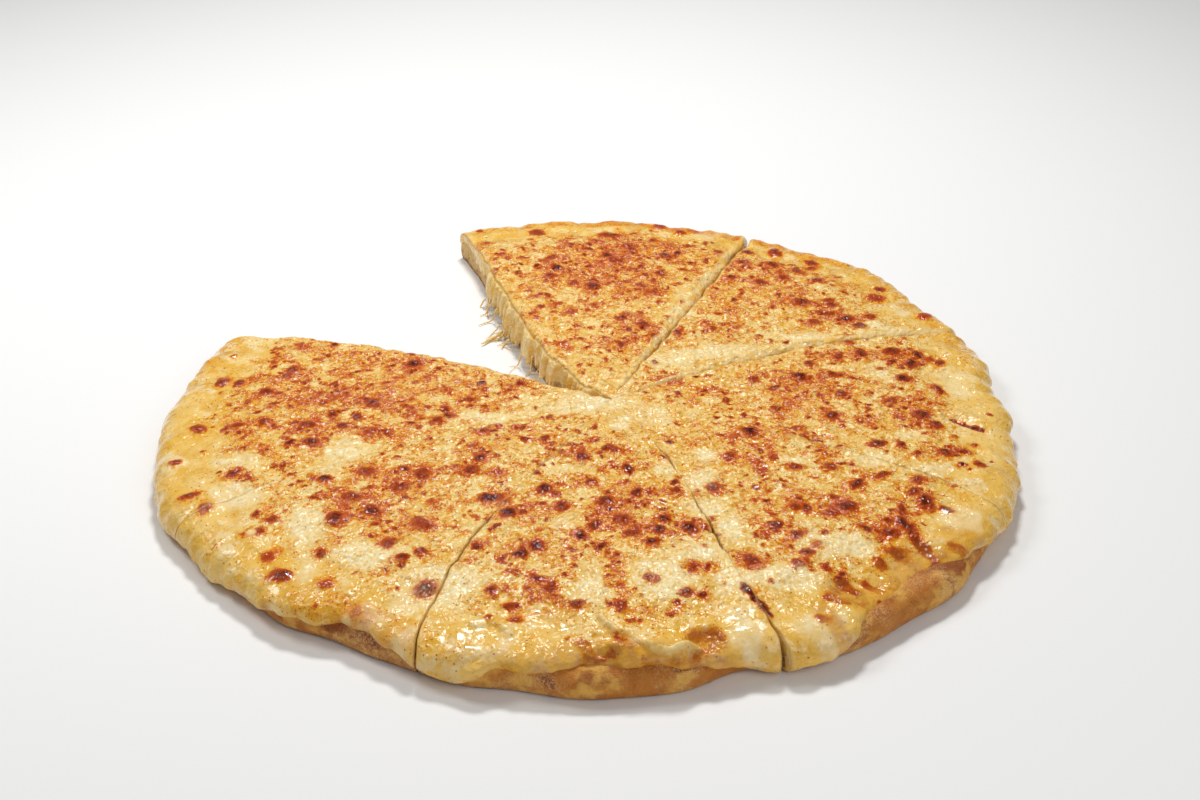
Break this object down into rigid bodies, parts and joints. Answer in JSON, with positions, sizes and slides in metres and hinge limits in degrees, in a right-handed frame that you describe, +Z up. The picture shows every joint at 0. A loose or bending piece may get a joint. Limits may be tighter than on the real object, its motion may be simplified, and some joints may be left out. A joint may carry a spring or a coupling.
{
  "type": "pan pizza",
  "caption": "Round thick pan pizza, cut in wedges with one wedge gone: slices of dough under browned melted cheese that laps over the rim and hangs torn into the gap.",
  "frame": {"origin": "middle of the pizza on the table, at the bottom of the dough", "axes": "+Z up, -Y towards the front, which is the side nearest in the picture; the gap of the missing slice opens to the back left, between -X and +Y"},
  "size_m": [0.3976, 0.396, 0.0211],
  "materials": {
    "dough": "baked golden-tan dough, floury, with a cream crumb where it is cut",
    "cheese": "melted cheese, cream-yellow and oily, with many orange to dark red-brown blisters"
  },
  "bodies": {
    "root": {"dough_back": "dough", "dough_back_right": "dough", "dough_right": "dough", "dough_front_right": "dough", "dough_front": "dough", "dough_front_left": "dough", "dough_left": "dough", "cheese_back": "cheese", "cheese_back_right": "cheese", "cheese_right": "cheese", "cheese_front_right": "cheese", "cheese_front": "cheese", "cheese_front_left": "cheese", "cheese_left": "cheese"}
  },
  "joints": []
}
